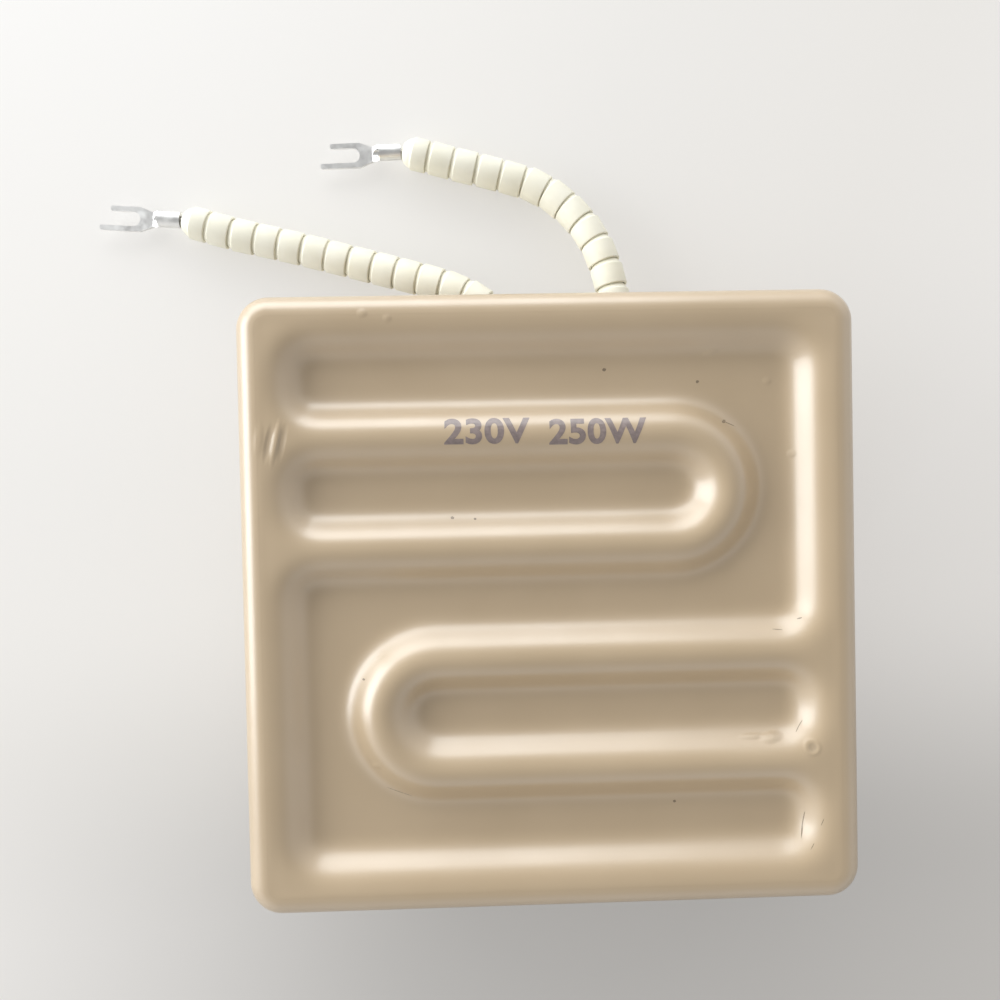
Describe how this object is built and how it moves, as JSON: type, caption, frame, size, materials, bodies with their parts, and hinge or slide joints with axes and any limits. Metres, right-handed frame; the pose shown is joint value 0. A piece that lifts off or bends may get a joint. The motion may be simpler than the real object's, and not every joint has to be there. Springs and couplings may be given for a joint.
{
  "type": "ceramic infrared heater",
  "caption": "Square flat ceramic infrared heating element with a raised serpentine face, a rear fixing boss and beaded leads ending in fork terminals.",
  "frame": {"origin": "centre of the body in plan, on the end face of the fixing boss", "axes": "+Z out of the radiating face, +Y towards the side where the leads leave, +X along the ribs to the right of the picture"},
  "size_m": [0.1573, 0.1614, 0.033],
  "materials": {
    "glazed_body": "warm cream glaze, glossy on the raised edges",
    "resistance_wire": "coiled resistance wire, cast in",
    "ferrule_steel": "plain crimped sleeve",
    "nickel_wire": "stranded nickel wire",
    "bead_ceramic": "unglazed off-white steatite",
    "tinned_terminal": "bright tinned copper"
  },
  "bodies": {
    "root": {"ceramic_body": "glazed_body", "heating_coil": "resistance_wire", "left_ferrule": "ferrule_steel", "right_ferrule": "ferrule_steel", "left_lead_wire": "nickel_wire", "right_lead_wire": "nickel_wire", "left_fork_terminal": "tinned_terminal", "right_fork_terminal": "tinned_terminal", "left_bead_01": "bead_ceramic", "left_bead_02": "bead_ceramic", "left_bead_03": "bead_ceramic", "left_bead_04": "bead_ceramic", "left_bead_05": "bead_ceramic", "left_bead_06": "bead_ceramic", "left_bead_07": "bead_ceramic", "left_bead_08": "bead_ceramic", "left_bead_09": "bead_ceramic", "left_bead_10": "bead_ceramic", "left_bead_11": "bead_ceramic", "left_bead_12": "bead_ceramic", "left_bead_13": "bead_ceramic", "left_bead_14": "bead_ceramic", "left_bead_15": "bead_ceramic", "left_bead_16": "bead_ceramic", "left_bead_17": "bead_ceramic", "left_bead_18": "bead_ceramic", "left_bead_19": "bead_ceramic", "left_bead_20": "bead_ceramic", "left_bead_21": "bead_ceramic", "left_bead_22": "bead_ceramic", "left_bead_23": "bead_ceramic", "right_bead_01": "bead_ceramic", "right_bead_02": "bead_ceramic", "right_bead_03": "bead_ceramic", "right_bead_04": "bead_ceramic", "right_bead_05": "bead_ceramic", "right_bead_06": "bead_ceramic", "right_bead_07": "bead_ceramic", "right_bead_08": "bead_ceramic", "right_bead_09": "bead_ceramic", "right_bead_10": "bead_ceramic", "right_bead_11": "bead_ceramic", "right_bead_12": "bead_ceramic", "right_bead_13": "bead_ceramic", "right_bead_14": "bead_ceramic", "right_bead_15": "bead_ceramic", "right_bead_16": "bead_ceramic", "right_bead_17": "bead_ceramic", "right_bead_18": "bead_ceramic", "right_bead_19": "bead_ceramic", "right_bead_20": "bead_ceramic", "right_bead_21": "bead_ceramic"}
  },
  "joints": []
}
